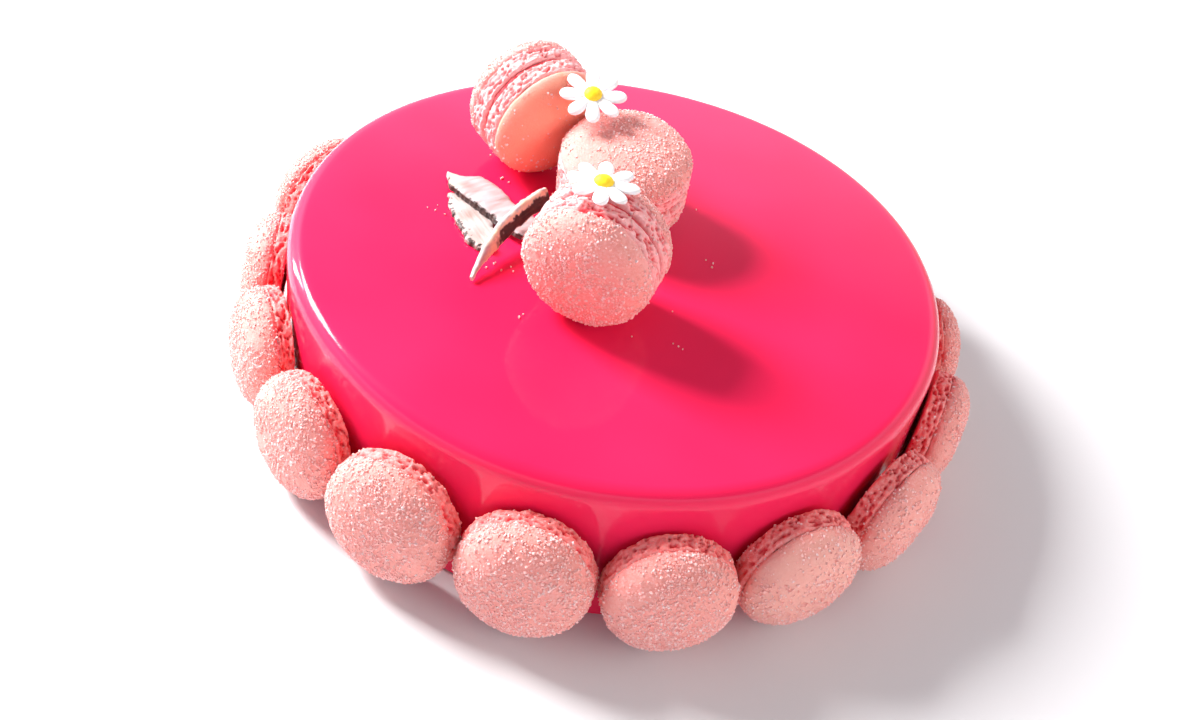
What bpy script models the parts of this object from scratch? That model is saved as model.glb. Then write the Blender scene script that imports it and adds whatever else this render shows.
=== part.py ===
"""Round mousse cake under a pink mirror glaze, with macaron shells standing round its side
and three filled macarons, coconut shavings and two sugar daisies on its top.

Sizes are in millimetres and are scaled to metres when a mesh is made. The cake's base is
centred on the origin, its top faces +Z, and azimuths run from +X towards +Y.
"""
import math
import random

import bpy
from mathutils import Matrix, Vector

MM = 0.001
GAP = 0.35                      # clearance between two pieces that touch

# Cake
CAKE_RADIUS = 100.0
CAKE_HEIGHT = 49.0
CAKE_FILLET = 4.8
CAKE_BASE_ROUND = 1.2
CAKE_SEGMENTS = 80
RIM_WAVES = ((2, -0.17, 0.44), (3, -0.47, 0.43))   # order, cosine and sine of the rim's unevenness

# Macaron shells
FOOT_RUFFLE = 0.45              # radial unevenness of the porous foot
RING_SEGMENTS = 22
TOP_SEGMENTS = 26

# Ring of shells: azimuth, distance and height of the back's centre, yaw, tilt, radius, foot, dome
RING = (
    (161.9, 102.5, 19.0, -10, 14, 18.9, 4.6, 8.6),
    (184.5, 103.0, 18.0, 5, 7, 17.5, 4.4, 8.8),
    (205.0, 102.5, 18.2, 6, 5, 18.3, 4.4, 9.2),
    (225.0, 103.0, 18.4, 4.5, 4, 18.3, 4.6, 9.0),
    (245.4, 103.6, 19.6, 4, 4.5, 19.2, 5.0, 9.2),
    (266.2, 103.0, 19.2, -2, 5, 18.8, 5.0, 9.4),
    (286.6, 102.5, 19.6, -2, 3, 18.3, 5.8, 8.8),
    (307.0, 101.5, 20.0, -3, 0, 18.5, 6.0, 8.6),
    (327.7, 101.2, 20.2, -2, -2, 18.8, 5.8, 9.0),
    (351.4, 100.8, 18.2, -5, -1, 18.0, 5.2, 8.8),
    (11.6, 100.8, 18.5, -1, 0, 18.2, 5.0, 9.0),
    (33.1, 102.0, 18.7, 2, 3, 18.5, 4.8, 8.8),
    (54.6, 102.0, 18.9, -3, 4, 18.7, 5.2, 9.2),
    (76.0, 102.0, 18.4, 1, 2, 18.2, 4.6, 9.0),
    (97.5, 102.0, 19.1, 3, 5, 18.9, 5.0, 8.6),
    (118.9, 102.0, 18.5, -2, 3, 18.3, 4.8, 9.2),
    (140.4, 102.0, 18.8, 2, 6, 18.6, 5.0, 8.8),
)

# Filled macarons: centre of the filling, axis azimuth and elevation, radius, foot, dome
TOP_MACARONS = {
    "left": ((-36.7, 34.6, 69.4), -46.0, -7.9, 19.3, 5.0, 9.0),
    "middle": ((-5.3, 15.4, 64.5), -101.4, 81.6, 20.2, 5.0, 8.2),
    "front": ((-7.3, -31.4, 69.2), -104.5, -5.4, 19.3, 5.0, 9.0),
}
FILLING_THICKNESS = 1.6
FILLING_INSET = 1.1             # how far the filling sits inside the feet

# Daisies: centre of the petals' plane, tilt about +X, first petal's azimuth, outer radius
DAISIES = {
    "back": ((-19.1, 21.7, 85.4), 20.0, 12.0, 10.2),
    "front": ((-9.3, -29.4, 90.2), 0.0, 0.0, 10.0),
}
PETALS = 8
PETAL_WIDTH = 4.1
PETAL_THICKNESS = 1.3
DAISY_HUB = 3.0
DAISY_CENTRE_RADIUS = 2.8
DAISY_CENTRE_HEIGHT = 2.1

# Coconut shavings: start, end (both on the lower face's middle line), widths, thickness
SHAVINGS = {
    "1": {"start": (-60.0, 15.4, 49.9), "end": (-28.4, -6.1, 50.3), "widths": (5, 9, 11, 14, 13, 12, 12),
          "thickness": 2.3, "bank": -8.0, "bow": 0.0, "arch": 0.4, "seed": 4},
    "2": {"start": (-56.6, 6.6, 49.5), "end": (-38.0, -16.0, 49.5), "widths": (2, 6, 8.5, 10.5, 11.5, 11, 8),
          "thickness": 1.5, "bank": 0.0, "bow": -1.0, "arch": 0.0, "seed": 9},
    "3": {"start": (-41.4, -31.4, 50.2), "end": (-26.8, 5.2, 58.0), "widths": (0.8, 3.0, 4.6, 5.6, 6.0, 6.0, 5.6),
          "thickness": 1.9, "bank": 66.0, "bow": 2.4, "arch": 1.5, "seed": 2},
}


def principled(name, colour, roughness, coat=0.0):
    material = bpy.data.materials.new(name)
    material.use_nodes = True
    shader = material.node_tree.nodes["Principled BSDF"]
    shader.inputs["Base Color"].default_value = (*colour, 1.0)
    shader.inputs["Roughness"].default_value = roughness
    shader.inputs["Coat Weight"].default_value = coat
    material.diffuse_color = (*colour, 1.0)
    return material


def add_piece(name, verts, faces, material, placement=Matrix.Identity(4), sharp=35.0):
    """Makes one closed mesh object from points in millimetres and places it."""
    mesh = bpy.data.meshes.new(name)
    mesh.from_pydata([[c * MM for c in v] for v in verts], [], faces)
    mesh.validate()
    mesh.materials.append(material)
    mesh.shade_smooth()
    mesh.set_sharp_from_angle(angle=math.radians(sharp))
    piece = bpy.data.objects.new(name, mesh)
    bpy.context.scene.collection.objects.link(piece)
    where, turn, _ = placement.decompose()
    piece.location = where * MM
    piece.rotation_euler = turn.to_euler()
    return piece


def lathe(rings, segments, bottom, top):
    """Closes a stack of rings, each a function of the azimuth, between two poles on the axis."""
    verts, faces = [Vector((0, 0, bottom))], []
    for ring in rings:
        for k in range(segments):
            angle = 2 * math.pi * k / segments
            radius, height = ring(angle, k)
            verts.append(Vector((radius * math.cos(angle), radius * math.sin(angle), height)))
    verts.append(Vector((0, 0, top)))
    last = len(verts) - 1
    for k in range(segments):
        n = (k + 1) % segments
        faces.append((0, 1 + n, 1 + k))
        for r in range(len(rings) - 1):
            a, b = 1 + r * segments, 1 + (r + 1) * segments
            faces.append((a + k, a + n, b + n, b + k))
        a = 1 + (len(rings) - 1) * segments
        faces.append((a + k, a + n, last))
    return verts, faces


def rim_offset(angle):
    return sum(c * math.cos(n * angle) + s * math.sin(n * angle) for n, c, s in RIM_WAVES)


def build_cake(material):
    steps = [(-CAKE_BASE_ROUND, 0.0), (-0.3 * CAKE_BASE_ROUND, 0.3 * CAKE_BASE_ROUND), (0.0, CAKE_BASE_ROUND)]
    steps.append((0.0, 0.5 * CAKE_HEIGHT))
    for k in range(6):
        turn = math.radians(90.0 * k / 5)
        steps.append((-CAKE_FILLET * (1 - math.cos(turn)), CAKE_HEIGHT - CAKE_FILLET * (1 - math.sin(turn))))
    steps.append((-CAKE_FILLET - 14.0, CAKE_HEIGHT))
    rings = [lambda angle, k, s=s: (CAKE_RADIUS + rim_offset(angle) + s[0], s[1]) for s in steps]
    verts, faces = lathe(rings, CAKE_SEGMENTS, 0.0, CAKE_HEIGHT)
    return add_piece("cake", verts, faces, material)


def shell_mesh(radius, foot, dome, segments, seed):
    """One macaron shell: flat back at z = 0, a ruffled porous foot, a groove and a domed cap."""
    draw = random.Random(seed)
    waves = [(n, draw.uniform(0, 2 * math.pi), draw.uniform(0.4, 1.0)) for n in (5, 7, 9, 11)]
    jitter = [draw.uniform(-0.4, 0.4) for _ in range(segments)]

    def ruffle(angle, k, depth):
        wave = sum(w * math.sin(n * angle + p) for n, p, w in waves) / 2.8
        return depth * (0.6 * wave + jitter[k] - 0.8)

    def ring(share, height, depth):
        return lambda angle, k: (radius * share + ruffle(angle, k, depth), height + 0.3 * ruffle(angle, k, depth))

    rings = [
        lambda angle, k: (radius * 0.93, 0.0),
        ring(0.995, foot * 0.24, FOOT_RUFFLE),
        ring(1.005, foot * 0.68, FOOT_RUFFLE),
        ring(0.955, foot * 0.98, 0.5 * FOOT_RUFFLE),
    ]
    for k in range(5):
        turn = math.radians(8 + 66.0 * k / 4)
        share = math.cos(turn) ** 0.66
        rings.append(lambda angle, k, s=share, t=turn: (radius * s, foot + dome * math.sin(t)))
    return lathe(rings, segments, 0.0, foot + dome)


def build_ring_shell(name, row, seed, material):
    azimuth, distance, height, yaw, tilt, radius, foot, dome = row
    a, y, t = math.radians(azimuth), math.radians(yaw), math.radians(tilt)
    out, side = Vector((math.cos(a), math.sin(a), 0)), Vector((-math.sin(a), math.cos(a), 0))
    up = Vector((0, 0, 1))
    facing = math.cos(y) * out + math.sin(y) * side
    across = math.cos(y) * side - math.sin(y) * out
    axis = math.cos(t) * facing + math.sin(t) * up
    rise = math.cos(t) * up - math.sin(t) * facing
    rim = [radius * (math.cos(k * math.pi / 18) * across + math.sin(k * math.pi / 18) * rise) for k in range(36)]
    for _ in range(4):          # the back leans on the glaze and stops a gap short of it
        inner = min((distance * out + p).to_2d().length - rim_offset(math.atan2(*(distance * out + p).yx))
                    for p in rim)
        distance += max(0.0, CAKE_RADIUS + GAP - inner)
    lowest = min(p.z for p in rim) - foot * abs(math.sin(t)) - FOOT_RUFFLE
    height = max(height, 0.1 - lowest)
    turn = Matrix((across, rise, axis)).transposed().to_4x4()
    place = Matrix.Translation(distance * out + height * up) @ turn
    verts, faces = shell_mesh(radius, foot, dome, RING_SEGMENTS, seed)
    return add_piece(name, verts, faces, material, place)


def build_top_macaron(name, centre, azimuth, elevation, radius, foot, dome, seed, shell, filling):
    a, e = math.radians(azimuth), math.radians(elevation)
    axis = Vector((math.cos(e) * math.cos(a), math.cos(e) * math.sin(a), math.sin(e)))
    across = Vector((-math.sin(a), math.cos(a), 0))
    rise = axis.cross(across)
    half = FILLING_THICKNESS / 2 + GAP
    for part, sign in (("outer", 1), ("inner", -1)):
        turn = Matrix((across, sign * rise, sign * axis)).transposed().to_4x4()
        place = Matrix.Translation(Vector(centre) + sign * half * axis) @ turn
        verts, faces = shell_mesh(radius, foot, dome, TOP_SEGMENTS, seed + sign)
        add_piece(f"{name}_macaron_{part}_shell", verts, faces, shell, place)
    disc = radius * 0.93 - FILLING_INSET + 0.6
    thick = FILLING_THICKNESS / 2
    rings = [lambda angle, k, r=r, z=z: (r, z)
             for r, z in ((disc - 0.5, -thick), (disc, -0.4 * thick), (disc, 0.4 * thick), (disc - 0.5, thick))]
    verts, faces = lathe(rings, TOP_SEGMENTS, -thick, thick)
    turn = Matrix((across, rise, axis)).transposed().to_4x4()
    add_piece(f"{name}_macaron_filling", verts, faces, filling, Matrix.Translation(Vector(centre)) @ turn)


def petal_outline(radius):
    """Points round the eight rounded petals, from one valley to the next."""
    points = []
    half = PETAL_WIDTH / 2
    middle = radius - half
    for p in range(PETALS):
        direction = 2 * math.pi * p / PETALS
        local = [(DAISY_HUB * math.cos(math.pi / PETALS), -DAISY_HUB * math.sin(math.pi / PETALS))]
        local.append((DAISY_HUB + 2.2, -0.94 * half))
        for k in range(5):
            turn = math.radians(-90 + 45 * k)
            local.append((middle + half * math.cos(turn), half * math.sin(turn)))
        local.append((DAISY_HUB + 2.2, 0.94 * half))
        c, s = math.cos(direction), math.sin(direction)
        points += [(c * x - s * y, s * x + c * y) for x, y in local]
    return points


def build_daisy(name, centre, tilt, first, radius, white, yellow):
    outline = petal_outline(radius)
    count = len(outline)
    half = PETAL_THICKNESS / 2
    levels = ((0.7, -half), (1.0, -0.25 * half), (1.0, 0.25 * half), (0.8, half))
    verts = [Vector((0, 0, -half))]
    for scale, height in levels:
        verts += [Vector((x * scale, y * scale, height)) for x, y in outline]
    verts.append(Vector((0, 0, half)))
    faces = []
    for k in range(count):
        n = (k + 1) % count
        faces.append((0, 1 + n, 1 + k))
        for r in range(len(levels) - 1):
            a, b = 1 + r * count, 1 + (r + 1) * count
            faces.append((a + k, a + n, b + n, b + k))
        a = 1 + (len(levels) - 1) * count
        faces.append((a + k, a + n, len(verts) - 1))
    turn = Matrix.Rotation(math.radians(tilt), 4, "X") @ Matrix.Rotation(math.radians(first), 4, "Z")
    place = Matrix.Translation(Vector(centre)) @ turn
    add_piece(f"{name}_daisy_petals", verts, faces, white, place)
    rings = [lambda angle, k, t=t: (DAISY_CENTRE_RADIUS * math.cos(t), DAISY_CENTRE_HEIGHT * math.sin(t))
             for t in (0.0, 0.4, 0.8, 1.2)]
    verts, faces = lathe(rings, 14, 0.0, DAISY_CENTRE_HEIGHT)
    seat = place @ Matrix.Translation((0, 0, half + GAP - 0.05))
    add_piece(f"{name}_daisy_centre", verts, faces, yellow, seat)


def build_shaving(name, spec, material):
    """A bent strip: its middle line bows sideways and arches up, and its width changes along it."""
    start, end = Vector(spec["start"]), Vector(spec["end"])
    widths = spec["widths"]
    draw = random.Random(spec["seed"])
    along = end - start
    side = Vector((-along.y, along.x, 0)).normalized()
    up = Vector((0, 0, 1))
    bank = math.radians(spec["bank"])
    wide = math.cos(bank) * side + math.sin(bank) * up
    deep = math.cos(bank) * up - math.sin(bank) * side
    stations = 2 * len(widths) - 1
    sections = []
    for i in range(stations):
        t = i / (stations - 1)
        low = min(int(t * (len(widths) - 1)), len(widths) - 2)
        f = t * (len(widths) - 1) - low
        width = widths[low] * (1 - f) + widths[low + 1] * f
        hump = 4 * t * (1 - t)
        middle = start + t * along + hump * (spec["bow"] * side + spec["arch"] * up)
        left, right = width / 2 + draw.uniform(-0.35, 0.35), width / 2 + draw.uniform(-0.35, 0.35)
        thick = spec["thickness"] * (0.55 + 0.45 * min(1.0, 3 * t, 6 * (1 - t) + 0.4))
        sections.append([middle - right * wide, middle + left * wide,
                         middle + 0.92 * left * wide + thick * deep, middle + thick * deep * 1.06,
                         middle - 0.92 * right * wide + thick * deep])
    verts = [v for section in sections for v in section]
    count = len(sections[0])
    faces = [tuple(reversed(range(count)))]
    for i in range(stations - 1):
        for k in range(count):
            n = (k + 1) % count
            faces.append((i * count + k, i * count + n, (i + 1) * count + n, (i + 1) * count + k))
    faces.append(tuple((stations - 1) * count + k for k in range(count)))
    return add_piece(f"coconut_shaving_{name}", verts, faces, material)


def main():
    for old in list(bpy.data.objects):
        bpy.data.objects.remove(old)
    glaze = principled("glaze", (0.85, 0.02, 0.13), 0.05, 1.0)
    shell = principled("macaron_shell", (0.84, 0.44, 0.38), 0.8)
    filling = principled("macaron_filling", (0.72, 0.10, 0.12), 0.5)
    white = principled("sugar_petals", (0.92, 0.91, 0.90), 0.55)
    yellow = principled("sugar_centre", (0.95, 0.70, 0.03), 0.5)
    coconut = principled("coconut", (0.86, 0.78, 0.74), 0.6)

    build_cake(glaze)
    for i, row in enumerate(RING):
        build_ring_shell(f"ring_macaron_{i + 1:02d}", row, 100 + i, shell)
    for i, (name, row) in enumerate(TOP_MACARONS.items()):
        build_top_macaron(name, *row, 300 + 10 * i, shell, filling)
    for name, row in DAISIES.items():
        build_daisy(name, *row, white, yellow)
    for name, spec in SHAVINGS.items():
        build_shaving(name, spec, coconut)


main()
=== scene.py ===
"""Studio picture of a round mousse cake under a pink mirror glaze, with macarons, coconut
shavings and sugar daisies. Shapes are worked out in millimetres and scaled to metres.
"""
import math

import bpy
import numpy as np
from mathutils import Matrix, Vector


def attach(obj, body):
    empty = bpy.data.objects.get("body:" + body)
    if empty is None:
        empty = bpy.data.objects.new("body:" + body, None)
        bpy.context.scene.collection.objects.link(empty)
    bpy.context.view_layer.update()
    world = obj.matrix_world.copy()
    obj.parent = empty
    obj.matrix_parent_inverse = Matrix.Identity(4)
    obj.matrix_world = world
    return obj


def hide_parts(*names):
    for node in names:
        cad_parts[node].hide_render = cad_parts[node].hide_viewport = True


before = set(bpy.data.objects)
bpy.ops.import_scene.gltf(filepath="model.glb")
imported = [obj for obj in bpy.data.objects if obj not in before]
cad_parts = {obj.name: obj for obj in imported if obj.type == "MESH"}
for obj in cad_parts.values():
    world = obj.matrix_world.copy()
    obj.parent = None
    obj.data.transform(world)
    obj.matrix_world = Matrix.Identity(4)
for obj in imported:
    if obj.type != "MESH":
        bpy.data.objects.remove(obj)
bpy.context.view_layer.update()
MM = 0.001

# The cake. A rim wave is its number of waves round the rim, with its cosine and sine parts
CAKE_RADIUS, CAKE_HEIGHT, CAKE_FILLET = 100.0, 49.0, 4.8
RIM_WAVES = ((2, -0.17, 0.44), (3, -0.47, 0.43))

# Each shell round the side: azimuth, distance and height of its foot's middle, yaw, tilt, radius,
# height of its foot and height of its dome
RING = (
    (161.9, 102.5, 19.0, -10, 14, 18.9, 4.6, 8.6),
    (184.5, 103.0, 18.0, 5, 7, 17.5, 4.4, 8.8),
    (205.0, 102.5, 18.2, 6, 5, 18.3, 4.4, 9.2),
    (225.0, 103.0, 18.4, 4.5, 4, 18.3, 4.6, 9.0),
    (245.4, 103.6, 19.6, 4, 4.5, 19.2, 5.0, 9.2),
    (266.2, 103.0, 19.2, -2, 5, 18.8, 5.0, 9.4),
    (286.6, 102.5, 19.6, -2, 3, 18.3, 5.8, 8.8),
    (307.0, 101.5, 20.0, -3, 0, 18.5, 6.0, 8.6),
    (327.7, 101.2, 20.2, -2, -2, 18.8, 5.8, 9.0),
    (351.4, 100.8, 18.2, -5, -1, 18.0, 5.2, 8.8),
    (11.6, 100.8, 18.5, -1, 0, 18.2, 5.0, 9.0),
    (33.1, 102.0, 18.7, 2, 3, 18.5, 4.8, 8.8),
    (54.6, 102.0, 18.9, -3, 4, 18.7, 5.2, 9.2),
    (76.0, 102.0, 18.4, 1, 2, 18.2, 4.6, 9.0),
    (97.5, 102.0, 19.1, 3, 5, 18.9, 5.0, 8.6),
    (118.9, 102.0, 18.5, -2, 3, 18.3, 4.8, 9.2),
    (140.4, 102.0, 18.8, 2, 6, 18.6, 5.0, 8.8),
)
# A shell's least distances from the cake's wall and above the level of its base, and how far the
# ruffles reach past its radius
WALL_GAP, BASE_GAP, FOOT_RUFFLE = 0.35, 0.1, 0.45

# Each filled macaron: its middle, azimuth and elevation of its axis, radius, foot and dome
TOP_MACARONS = {
    "left": ((-36.7, 34.6, 69.4), -46.0, -7.9, 19.3, 5.0, 9.0),
    "middle": ((-5.3, 15.4, 64.5), -101.4, 81.6, 20.2, 5.0, 8.2),
    "front": ((-7.3, -31.4, 69.2), -104.5, -5.4, 19.3, 5.0, 9.0),
}
# Their filling's thickness and inset, and how much deeper their feet are made than they are placed
FILLING_THICKNESS, FILLING_INSET, FOOT_EXTRA = 1.6, 1.25, 0.3

# How each shell is coated, where it isn't as usual. density is in grains to a square millimetre;
# depth scales the dark red painted as shade into its pores and cracks, and onto its scars, and
# salmon and cream are how salmon or cream its crust is. A scar is its angle, its height as a share
# of the foot, and its half width and half height. A bare patch, where the sugar has rubbed off, is
# its middle and its reach
USUAL_DENSITY, RIM_DENSITY = 2.5, 0.3
THIN_COATS = {
    8: {"density": 1.1, "cream": 0.55},
    9: {"density": 1.0, "cream": 0.15},
    10: {"density": 1.6},
}
TOP_COATS = {
    ("left", "outer"): {"density": 0.12, "depth": 0.6, "salmon": 0.85},
    ("left", "inner"): {"density": 2.0, "depth": 0.6},
    ("middle", "outer"): {"density": 2.1, "bare": (((-18.5, 8.5, 75.3), 17.0),)},
    ("middle", "inner"): {"density": 2.1},
    ("front", "outer"): {"density": 2.4, "scars": ((1.74, 0.98, 2.4, 1.5), (1.50, 1.02, 1.7, 0.9)),
                         "bare": (((-15.0, -42.0, 83.0), 8.5), ((0.5, -45.5, 79.5), 10.5))},
    ("front", "inner"): {"density": 2.4},
}

# Points round and up a foot, on the ring and on top, points round a cap, and pores in each foot
RING_DETAIL, TOP_DETAIL, CAP_COLUMNS = (320, 17), (400, 22), 132
PORES_UNDER_CAP, PORES_ALL_OVER = 34, 170

# Sugar crystals: the smallest and largest size, and the places near which some lie on the glaze
GRAIN_SIZES, LOOSE_SIZES = (0.32, 0.74), (0.3, 0.6)
LOOSE_PLACES = ((-43.5, 22.5), (-36.0, -22.5), (-31.5, -22.0), (-58.5, 0.0),
                (-24.0, -42.0), (20.0, -40.0), (26.0, 2.0), (-46.0, 38.0))
LOOSE_AT_EACH, LOOSE_SPREAD, LOOSE_ELSEWHERE = 3, 1.2, 10
# The share of grains left at the middle of a bare patch, and the seed added for scattering
LEAST_KEPT, SCATTER_SEED = 0.12, 5000

# Each daisy: its middle, tilt, turn of its first petal, and radius
DAISIES = {
    "back": ((-19.1, 21.7, 85.4), 20.0, 12.0, 10.2),
    "front": ((-9.3, -29.4, 90.2), 0.0, 0.0, 10.0),
}
PETALS, PETAL_WIDTH, PETAL_THICKNESS, PETAL_ROOT = 8, 4.4, 1.75, 0.8
HUB_SIZE, BUTTON_SIZE, BUTTON_RISE = (3.2, 3.2, 0.6), (2.8, 2.8, 2.1), 0.5


def even_edge(widths):
    """A shaving's edge, half of each width out from its middle line, at even steps."""
    return tuple(zip(np.linspace(0, 1, len(widths)), np.array(widths) / 2))


# Each coconut shaving. left and right are its edges: a share of its length, and how far out it is.
# rag is how torn they are, bank its roll, and bow and arch how far it bends sideways and up.
# threads is how its fibres are squeezed along it, across it and through it
CURL_EDGE = even_edge((0.8, 3.0, 4.6, 5.6, 6.0, 6.0, 5.6))
SHAVINGS = {
    "1": {"start": (-60.0, 15.4, 49.9), "end": (-28.4, -6.1, 50.3), "thickness": 2.3,
          "bank": -8.0, "bow": 0.0, "arch": 0.4, "rag": 0.42, "threads": (0.9, 0.16, 1),
          "left": ((0, 1.8), (0.09, 3.6), (0.135, 4.6), (0.18, 9.2), (0.25, 9.9), (0.33, 9.5),
                   (0.51, 7.9), (0.64, 7.1), (0.80, 7.4), (1, 6.0)),
          "right": ((0, -0.6), (0.05, 1.0), (0.12, 3.0), (0.20, 4.6), (0.52, 5.5), (0.80, 5.6),
                    (0.95, 5.0), (1, 4.0))},
    "2": {"start": (-56.6, 6.6, 49.5), "end": (-38.0, -16.0, 49.5), "thickness": 1.5,
          "bank": 0.0, "bow": -1.0, "arch": 0.0, "rag": 0.42, "threads": (0.2, 1.8, 1),
          "left": ((0, 1.0), (0.08, 4.6), (0.3, 6.8), (0.6, 7.4), (0.76, 5.4), (0.88, 2.6), (1, 0.4)),
          "right": ((0, 0.4), (0.16, 1.7), (0.39, 3.1), (0.637, 4.1), (0.82, 4.7), (0.93, 3.8), (1, 1.4))},
    "3": {"start": (-41.4, -31.4, 50.2), "end": (-26.8, 5.2, 58.0), "thickness": 1.9,
          "bank": 66.0, "bow": 2.4, "arch": 1.5, "rag": 0.30, "threads": (0.2, 1.8, 1),
          "left": CURL_EDGE, "right": CURL_EDGE},
}

# Camera, in metres: its place, and the directions of its right side, its top and its view
CAMERA_PLACE = (0.0, -0.317967, 0.28645)
CAMERA_RIGHT, CAMERA_TOP = (0.9767, 0.1432, 0.1597), (-0.2145, 0.6507, 0.7284)
CAMERA_VIEW = (-0.0004, 0.7457, -0.6663)
# The sensor's width in millimetres, and the focal length and the image's width in pixels
SENSOR_WIDTH, FOCAL_PIXELS, IMAGE_WIDTH = 36.0, 1300, 1200

# Studio: the floor's half side in metres, the sky's brightness by height above the horizon, the
# heights between which it is bluer, and the middle of its glow
FLOOR_REACH = 14.0
SKY_LEVELS = ((0.0, 0.80), (0.25, 0.78), (0.40, 1.25), (0.50, 1.30), (0.55, 0.80),
              (0.59, 0.22), (0.64, 0.05), (0.85, 0.05), (1.0, 0.12))
BLUER_BAND = (0.3, 0.7)
GLOW_AZIMUTH, GLOW_ELEVATION = 150, 12

# Each lamp: azimuth, elevation, distance and size in metres, watts, and colour. A soft lamp lights
# surfaces without showing in the glaze, and a reflected one shows there alone
AIM = (0, 0, 0.04)
SOFT_LAMPS = {
    "key": (163, 36.5, 0.80, (0.24, 0.32), 17.0, (1.0, 0.985, 1.0)),
    "overhead": (60, 80, 2.0, (2.4, 2.4), 4.6, (1.0, 0.94, 0.86)),
    "fill": (-16, 23, 1.6, (1.7, 0.9), 12.0, (1.0, 0.94, 0.85)),
}
REFLECTED_LAMPS = {
    "window": (151, 39, 1.6, (0.46, 0.42), 24.0, (1, 1, 1)),
    "window_foot": (156, 15, 1.6, (0.13, 0.60), 9.0, (1, 1, 1)),
}


# Mesh helpers
def make_object(name, verts, faces, material, replaces=(), smooth=True, attributes=None, sharp=None):
    """A piece from points in millimetres. faces is an array of equal-sided faces, or a list of arrays."""
    groups = faces if isinstance(faces, list) else [faces]
    mesh = bpy.data.meshes.new(name)
    sizes = np.concatenate([np.full(len(g), g.shape[1], np.int32) for g in groups])
    loops = np.concatenate([g.ravel() for g in groups]).astype(np.int32)
    mesh.vertices.add(len(verts))
    mesh.vertices.foreach_set("co", (np.asarray(verts, np.float64) * MM).astype(np.float32).ravel())
    mesh.loops.add(len(loops))
    mesh.loops.foreach_set("vertex_index", loops)
    mesh.polygons.add(len(sizes))
    mesh.polygons.foreach_set("loop_start", np.concatenate([[0], np.cumsum(sizes)[:-1]]).astype(np.int32))
    mesh.update(calc_edges=True)
    mesh.validate()
    for key, values in (attributes or {}).items():
        layer = mesh.attributes.new(key, "FLOAT", "POINT")
        layer.data.foreach_set("value", np.asarray(values, np.float32))
    if smooth:
        mesh.shade_smooth()
        if sharp:
            mesh.set_sharp_from_angle(angle=math.radians(sharp))
    else:
        mesh.shade_flat()
    mesh.materials.append(material)
    piece = bpy.data.objects.new(name, mesh)
    bpy.context.scene.collection.objects.link(piece)
    if replaces:
        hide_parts(*replaces)
    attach(piece, "root")


def grid_faces(rows, columns):
    """Quads between consecutive rows of points, each row a closed loop of columns points."""
    r, c = np.meshgrid(np.arange(rows - 1), np.arange(columns), indexing="ij")
    n = (c + 1) % columns
    corners = [r * columns + c, r * columns + n, (r + 1) * columns + n, (r + 1) * columns + c]
    return np.stack(corners, -1).reshape(-1, 4)


HASH_STEPS = (374761393, 668265263, 2147483647, 974634533)
HASH_MIXERS = (1274126177, 2246822519)
LOW_32_BITS, LOW_24_BITS = 0xFFFFFFFF, 0xFFFFFF


def hashed(i, j, k, seed):
    """A repeatable number from -1 to 1 for each whole-numbered place."""
    h = (i * HASH_STEPS[0] + j * HASH_STEPS[1] + k * HASH_STEPS[2] + seed * HASH_STEPS[3]) & LOW_32_BITS
    h = ((h ^ (h >> 13)) * HASH_MIXERS[0]) & LOW_32_BITS
    h = ((h ^ (h >> 16)) * HASH_MIXERS[1]) & LOW_32_BITS
    return ((h ^ (h >> 15)) & LOW_24_BITS) / LOW_24_BITS * 2.0 - 1.0


def noise(p, scale, seed=0):
    """Smooth value noise from -1 to 1 at points p, with lumps about scale wide."""
    q = np.asarray(p, float) / scale
    base = np.floor(q).astype(np.int64)
    f = q - base
    f = f * f * (3 - 2 * f)
    out = 0.0
    for dx in (0, 1):
        for dy in (0, 1):
            for dz in (0, 1):
                w = (f[..., 0] if dx else 1 - f[..., 0]) * (f[..., 1] if dy else 1 - f[..., 1])
                w = w * (f[..., 2] if dz else 1 - f[..., 2])
                out = out + w * hashed(base[..., 0] + dx, base[..., 1] + dy, base[..., 2] + dz, seed)
    return out


def apply(matrix, points):
    m = np.array(matrix)
    return points @ m[:3, :3].T + m[:3, 3]


def rim_offset(angle):
    """How far the cake's uneven rim lies outside its radius."""
    return sum(c * np.cos(n * angle) + s * np.sin(n * angle) for n, c, s in RIM_WAVES)


def round_angles(count):
    return np.linspace(0, math.tau, count, endpoint=False)


def angle_between(a, b):
    """The angle from b to a, from minus half a turn to half a turn."""
    return (a - b + math.pi) % math.tau - math.pi


# Materials
MIX_A, MIX_B, MIX_RESULT = 6, 7, 2      # the colour sockets of a Mix node


def new_material(name):
    material = bpy.data.materials.new(name)
    material.use_nodes = True
    tree = material.node_tree
    return material, tree.nodes, tree.links, tree.nodes["Principled BSDF"]


def ramp(nodes, links, source, stops):
    """A colour ramp over source, with a position and a colour for each stop."""
    node = nodes.new("ShaderNodeValToRGB")
    first, last = node.color_ramp.elements
    first.position, first.color = stops[0][0], (*stops[0][1], 1)
    last.position, last.color = stops[-1][0], (*stops[-1][1], 1)
    for position, colour in stops[1:-1]:
        node.color_ramp.elements.new(position).color = (*colour, 1)
    links.new(source, node.inputs["Fac"])
    return node.outputs["Color"]


def noise_node(nodes, links, scale, detail=3.0, roughness=0.55):
    """Noise in the object's own coordinates. scale is in lumps per metre."""
    where = nodes.new("ShaderNodeTexCoord")
    node = nodes.new("ShaderNodeTexNoise")
    node.inputs["Scale"].default_value = scale
    node.inputs["Detail"].default_value = detail
    node.inputs["Roughness"].default_value = roughness
    links.new(where.outputs["Object"], node.inputs["Vector"])
    return node.outputs["Fac"]


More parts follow.
